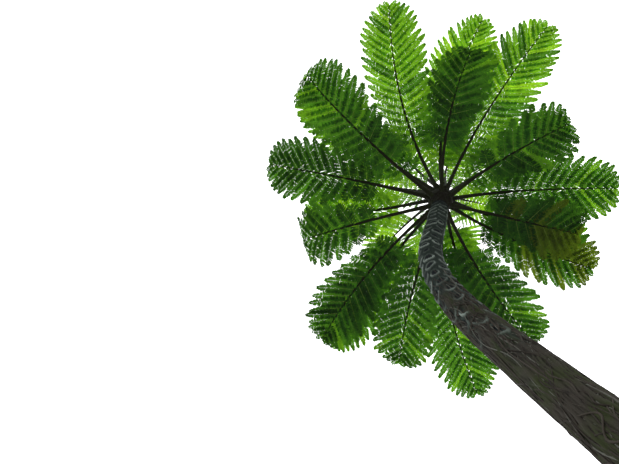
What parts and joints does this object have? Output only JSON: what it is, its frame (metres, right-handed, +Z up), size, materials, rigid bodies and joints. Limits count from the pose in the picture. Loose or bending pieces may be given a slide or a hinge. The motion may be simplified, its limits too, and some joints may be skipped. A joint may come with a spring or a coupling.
{
  "type": "tree fern",
  "caption": "Tall tree fern: a leaning fibrous trunk with a root-flared foot, a crown head, and arching feather-shaped fronds in tiers round coiled young fronds.",
  "frame": {"origin": "centre of the flat cut under the trunk, at ground level", "axes": "+Z up along the height of the plant; the trunk's top leans towards +X and -Y"},
  "size_m": [4.8056, 5.9623, 10.0188],
  "materials": {
    "trunk": "rough fibrous bark, grey-brown, with paler frond scars",
    "crown_head": "dark scaly stalk bases",
    "frond": "soft green leaf, slightly waxy above",
    "crozier": "coiled young frond under golden-brown scales"
  },
  "bodies": {
    "root": {"trunk": "trunk", "crown_head": "crown_head", "frond_01_inner": "frond", "frond_01_outer": "frond", "frond_02_inner": "frond", "frond_02_outer": "frond", "frond_03_inner": "frond", "frond_03_outer": "frond", "frond_04_inner": "frond", "frond_04_outer": "frond", "frond_05_inner": "frond", "frond_05_outer": "frond", "frond_06_inner": "frond", "frond_06_outer": "frond", "frond_07_inner": "frond", "frond_07_outer": "frond", "frond_08_inner": "frond", "frond_08_outer": "frond", "frond_09_inner": "frond", "frond_09_outer": "frond", "frond_10_inner": "frond", "frond_10_outer": "frond", "frond_11_inner": "frond", "frond_11_outer": "frond", "frond_12_inner": "frond", "frond_12_outer": "frond", "frond_13_inner": "frond", "frond_13_outer": "frond", "frond_14_inner": "frond", "frond_14_outer": "frond", "frond_15_inner": "frond", "frond_15_outer": "frond", "frond_16_inner": "frond", "frond_16_outer": "frond", "frond_17_inner": "frond", "frond_17_outer": "frond", "frond_18_inner": "frond", "frond_18_outer": "frond", "frond_19_inner": "frond", "frond_19_outer": "frond", "frond_20_inner": "frond", "frond_20_outer": "frond", "frond_21_inner": "frond", "frond_21_outer": "frond", "frond_22": "frond", "frond_23": "frond", "frond_24": "frond", "frond_25": "frond", "frond_26": "frond", "frond_27": "frond", "frond_28": "frond", "crozier_1": "crozier", "crozier_2": "crozier", "crozier_3": "crozier"}
  },
  "joints": []
}
